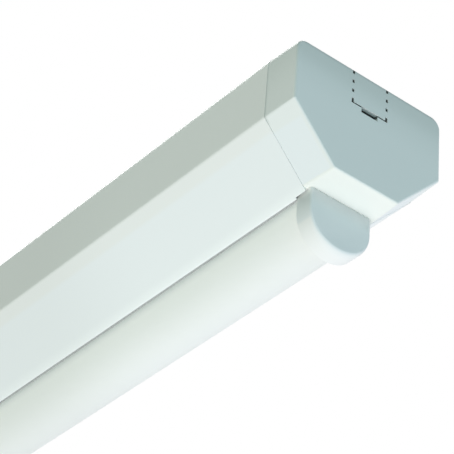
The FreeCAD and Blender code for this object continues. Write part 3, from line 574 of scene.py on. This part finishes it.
def looseBoxes(name):
    # lowest and highest corner of each solid of a node
    bm = cadCopy(name)
    waiting = set(bm.verts)
    boxes = []
    while waiting:
        front = [waiting.pop()]
        island = list(front)
        while front:
            for edge in front.pop().link_edges:
                for vert in edge.verts:
                    if vert in waiting:
                        waiting.remove(vert)
                        front.append(vert)
                        island.append(vert)
        low = Vector([min(vert.co[axis] for vert in island) for axis in range(3)])
        high = Vector([max(vert.co[axis] for vert in island) for axis in range(3)])
        boxes.append((low, high))
    bm.free()
    return sorted(boxes, key=lambda pair: tuple(round(value, 6) for value in pair[0]))  # along the length


def turned(profile, steps):
    # a profile of (radius, height) turned about Z
    bm = bmesh.new()
    verts = [bm.verts.new((radius, 0, height)) for radius, height in profile]
    edges = [bm.edges.new(pair) for pair in zip(verts, verts[1:])]
    bmesh.ops.spin(bm, geom=verts + edges, cent=(0, 0, 0), axis=(0, 0, 1), angle=math.tau, steps=steps,
                   use_merge=True)
    bmesh.ops.remove_doubles(bm, verts=bm.verts, dist=poleGap)
    bmesh.ops.recalc_face_normals(bm, faces=bm.faces)
    return bm


def roundEdges(bm, edges, radius, segments, clamp=False):
    bmesh.ops.bevel(bm, geom=edges, offset=radius, offset_type="OFFSET", affect="EDGES", segments=segments,
                    profile=0.5, material=-1, clamp_overlap=clamp)


def addCopy(bm, mesh, matrix):
    before = len(bm.verts)
    bm.from_mesh(mesh)
    bm.verts.ensure_lookup_table()
    bmesh.ops.transform(bm, matrix=matrix, verts=bm.verts[before:])


def middleOf(low, high):
    return (low + high) / 2


# Caps of the diffuser: the face runs into the sides with the full round that the photo shows
faceRound = {
    "drawn": 0.0004,  # radius on the CAD solid
    "sides": 0.0009,
    "bottom": 0.0018,
    "reach": 2.0,  # how much deeper than high the round is under the face
}
for end in ("near", "far"):
    node = "diffuser_cap_" + end
    low, high = (Vector(corner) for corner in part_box(node))
    half = (high.y - low.y) / 2
    center = low.z + half
    face = high.x if end == "near" else low.x
    bm = cadCopy(node)
    for vert in bm.verts:
        depth = vert.co.x - face
        if abs(depth) > faceRound["drawn"] + joinGap:
            continue
        out = Vector((0, vert.co.y, min(vert.co.z - center, 0)))  # under the centre the outline is an arc
        way = out.normalized()
        down = way.z ** 2  # 0 at the sides, 1 at the bottom
        radius = faceRound["sides"] + (faceRound["bottom"] - faceRound["sides"]) * down
        inset = (half - out.length) * radius / faceRound["drawn"]
        vert.co += way * (half - inset - out.length)
        reach = 1 + (faceRound["reach"] - 1) * down
        vert.co.x = face + depth * reach * radius / faceRound["drawn"]
    addPiece(node + "_round", bm, node, ["diffuserCap"], [node])
print("caps of the diffuser made")

# LED packages: a cream frame with a dished phosphor and two soldered ends, light side down
ledSpec = {
    "corner": 0.00012,
    "rim": 0.00042,
    "dish": 0.00022,
    "padLength": 0.0003,  # under the frame
    "padReach": 0.00022,  # beyond the frame
    "padWidth": 0.0021,
    "padHeight": 0.00025,
    "padSlope": 0.8,  # share of the reach that is lost away from the board
}


def makeLed(size):
    bm = bmesh.new()
    bmesh.ops.create_cube(bm, size=1.0, matrix=Matrix.Diagonal((*size, 1)))
    face = min(bm.faces, key=lambda f: f.calc_center_median().z)
    bmesh.ops.inset_region(bm, faces=[face], thickness=ledSpec["rim"], depth=0)
    bmesh.ops.inset_region(bm, faces=[face], thickness=ledSpec["dish"] / 2, depth=-ledSpec["dish"])
    face.material_index = 1
    posts = [edge for edge in bm.edges if abs(edge.verts[0].co.z - edge.verts[1].co.z) > size.z / 2]
    roundEdges(bm, posts, ledSpec["corner"], segments=2)
    pad = Matrix.Diagonal((ledSpec["padLength"] + ledSpec["padReach"], ledSpec["padWidth"],
                           ledSpec["padHeight"], 1))
    for side in (-1, 1):
        place = (side * (size.x / 2 - ledSpec["padLength"] / 2 + ledSpec["padReach"] / 2), 0,
                 size.z / 2 - ledSpec["padHeight"] / 2)
        made = bmesh.ops.create_cube(bm, size=1.0, matrix=Matrix.Translation(place) @ pad)
        for vert in made["verts"]:
            for face in vert.link_faces:
                face.material_index = 2
            if vert.co.x * side > size.x / 2 and vert.co.z < place[2]:
                vert.co.x -= side * ledSpec["padReach"] * ledSpec["padSlope"]
    return storeMesh("ledPackage", bm)


for end in ("near", "far"):
    boxes = looseBoxes("leds_" + end)
    package = makeLed(boxes[0][1] - boxes[0][0])
    bm = bmesh.new()
    for low, high in boxes:
        addCopy(bm, package, Matrix.Translation(middleOf(low, high)))
    addPiece("led_packages_" + end, bm, "gear_tray", ["ledFrame", "ledPhosphor", "solder"],
             ["leds_" + end])
print("LED packages made")

# Screws: pan heads with a cross recess, and a rolled thread
screwSpec = {
    "crown": [(0, 1.0), (0.45, 0.985), (0.72, 0.93), (0.90, 0.80), (0.985, 0.58), (1.0, 0.40), (1.0, 0.05),
              (0.97, 0)],  # shares of the head's radius and height
    "steps": 36,
    "threadDepth": 0.14,  # share of the shank's radius
    "pitch": 0.0006,
    "crossWidth": 0.26,  # shares of the head's radius
    "crossArm": 0.45,
    "crossDepth": 0.62,  # share of the head's height
    "tipTaper": 0.45,  # what is left of the recess at its bottom, along the arms
    "sideTaper": 0.8,  # and across them
    "turnEach": 37,  # degrees, since each is driven home at an angle of its own
}


def makeScrew(name, shank, headRadius, headHeight, reach):
    profile = [(headRadius * r, headHeight * h) for r, h in screwSpec["crown"]]
    profile.append((shank, 0))
    turns = int(reach / screwSpec["pitch"])
    for index in range(turns):
        top = -reach * index / turns
        step = reach / turns
        profile.append((shank * (1 - screwSpec["threadDepth"]), top - step / 2))
        profile.append((shank, top - step))
    profile.append((0, -reach))
    head = bpy.data.objects.new(name, storeMesh(name, turned(profile, screwSpec["steps"])))
    bm = bmesh.new()
    wide, arm = screwSpec["crossWidth"] * headRadius, screwSpec["crossArm"] * headRadius
    deep = screwSpec["crossDepth"] * headHeight
    bmesh.ops.create_cube(bm, size=1.0, matrix=Matrix.Translation((0, 0, headHeight)) @
                          Matrix.Diagonal((wide, wide, 2 * deep, 1)))
    bm.normal_update()
    sides = [face for face in bm.faces if abs(face.normal.z) < 0.5]  # the upright ones
    for face in bmesh.ops.extrude_discrete_faces(bm, faces=sides)["faces"]:
        bmesh.ops.translate(bm, verts=face.verts, vec=face.normal * arm)
    for vert in bm.verts:
        if vert.co.z < headHeight:
            for axis in (0, 1):
                tip = abs(vert.co[axis]) > wide
                vert.co[axis] *= screwSpec["tipTaper"] if tip else screwSpec["sideTaper"]
    cross = bpy.data.objects.new(name + "Cross", storeMesh(name + "Cross", bm))
    for item in (head, cross):
        scene.collection.objects.link(item)
    cut = head.modifiers.new("cross", "BOOLEAN")
    cut.operation = "DIFFERENCE"
    cut.solver = "EXACT"
    cut.object = cross
    depsgraph = bpy.context.evaluated_depsgraph_get()
    mesh = bpy.data.meshes.new_from_object(head.evaluated_get(depsgraph))
    for item in (head, cross):
        bpy.data.objects.remove(item)
    return mesh


screwSets = {  # node: shank radius, head height, which way the head points
    "board_screws": (0.0015, 0.0020, -1),
    "driver_screws": (0.0015, 0.0020, 1),
    "earth_screw": (0.0020, 0.0026, 1),
}
for node, (shank, headHeight, headWay) in screwSets.items():
    boxes = looseBoxes(node)
    low, high = boxes[0]
    screw = makeScrew(node + "Form", shank, (high.x - low.x) / 2, headHeight, high.z - low.z - headHeight)
    bm = bmesh.new()
    for index, (low, high) in enumerate(boxes):
        middle = middleOf(low, high)
        middle.z = high.z - headHeight if headWay > 0 else low.z + headHeight
        turn = Matrix.Rotation(math.radians(screwSpec["turnEach"] * index), 4, "Z")
        flip = Matrix.Rotation(math.pi if headWay < 0 else 0, 4, "X")
        addCopy(bm, screw, Matrix.Translation(middle) @ flip @ turn)
    addPiece(node + "_cross", bm, "gear_tray", ["zincPlate"], [node])
print("screws made")

# Rivets: a domed head above and a set tail with the stub of its stem below
rivetSpec = {
    "dome": [(0, 0.62), (0.22, 0.66), (0.30, 0.96), (0.42, 1.0), (0.66, 0.90), (0.86, 0.66), (0.97, 0.32),
             (1.0, 0.06), (0.98, 0)],  # shares of the head's radius and height
    "head": (0.0024, 0.0009),  # radius, height
    "shank": 0.0015,
    "steps": 28,
}
boxes = looseBoxes("clip_rivets")
radius, height = rivetSpec["head"]
reach = boxes[0][1].z - boxes[0][0].z - 2 * height
upper = [(radius * r, reach + height * h) for r, h in rivetSpec["dome"]]
lower = [(radius * r, -height * h) for r, h in rivetSpec["dome"]]
shank = [(rivetSpec["shank"], reach), (rivetSpec["shank"], 0)]
rivet = storeMesh("rivetForm", turned(upper + shank + lower[::-1], rivetSpec["steps"]))
bm = bmesh.new()
for low, high in boxes:
    foot = middleOf(low, high)
    foot.z = low.z + height
    addCopy(bm, rivet, Matrix.Translation(foot))
addPiece("clip_rivets_domed", bm, "gear_tray", ["rivetAlloy"], ["clip_rivets"])
print("rivets made")

# Cable grommet: rounded lips over and under the dished sheet
grommetSpec = {
    "bore": 0.0060,
    "neck": 0.0099,
    "flange": 0.0130,
    "heights": (-0.0004, -0.0016, -0.0022, -0.0036),  # top, both faces of the sheet, bottom
    "round": 0.0004,
    "steps": 64,
}
top, seat, under, bottom = grommetSpec["heights"]
bm = turned([
    (grommetSpec["bore"], top), (grommetSpec["flange"], top), (grommetSpec["flange"], seat),
    (grommetSpec["neck"], seat), (grommetSpec["neck"], under), (grommetSpec["flange"], under),
    (grommetSpec["flange"], bottom), (grommetSpec["bore"], bottom), (grommetSpec["bore"], top),
], grommetSpec["steps"])
rims = []
for edge in bm.edges:
    start, end = (vert.co.z for vert in edge.verts)
    lip = start > seat + joinGap or start < under - joinGap
    if lip and abs(start - end) < poleGap and edge.calc_face_angle(0) > crispAngle:
        rims.append(edge)
roundEdges(bm, rims, grommetSpec["round"], segments=4)
bmesh.ops.recalc_face_normals(bm, faces=bm.faces)
addPiece("cable_grommet_rounded", bm, "housing", ["blackRubber"], ["cable_grommet"])
print("grommet made")

# Moulded and punched pieces get the small edge radius that they have in life
softEdges = {  # node: body, slot, finish, radius
    "board_connector_near": ("gear_tray", "connector_white", "connectorNylon", 0.00025),
    "board_connector_far": ("gear_tray", "connector_white", "connectorNylon", 0.00025),
    "driver_input_terminal": ("gear_tray", "terminal_grey", "terminalGrey", 0.0002),
    "driver_output_terminal": ("gear_tray", "terminal_grey", "terminalGrey", 0.0002),
    "driver_base": ("gear_tray", "driver_plate", "galvanised", 0.00012),
    "terminal_block": ("gear_tray", "terminal_white", "terminalNylon", 0.0002),
    "wire_bush": ("gear_tray", "bush_rubber", "blackRubber", 0.0002),
    "live_button": ("live_button", "button_brown", "buttonBrown", 0.0001),
    "neutral_button": ("neutral_button", "button_blue", "buttonBlue", 0.0001),
    "earth_button": ("earth_button", "button_green", "buttonGreen", 0.0001),
}
for node, (body, slot, finish, radius) in softEdges.items():
    bm = cadCopy(node)
    bmesh.ops.dissolve_limit(bm, angle_limit=flatAngle, verts=bm.verts, edges=bm.edges)
    sharp = [edge for edge in bm.edges if edge.is_manifold and edge.calc_face_angle(0) > crispAngle]
    roundEdges(bm, sharp, radius, segments=2, clamp=True)
    addPiece(node + "_soft", bm, body, [finish], [node])
print("soft edges made")
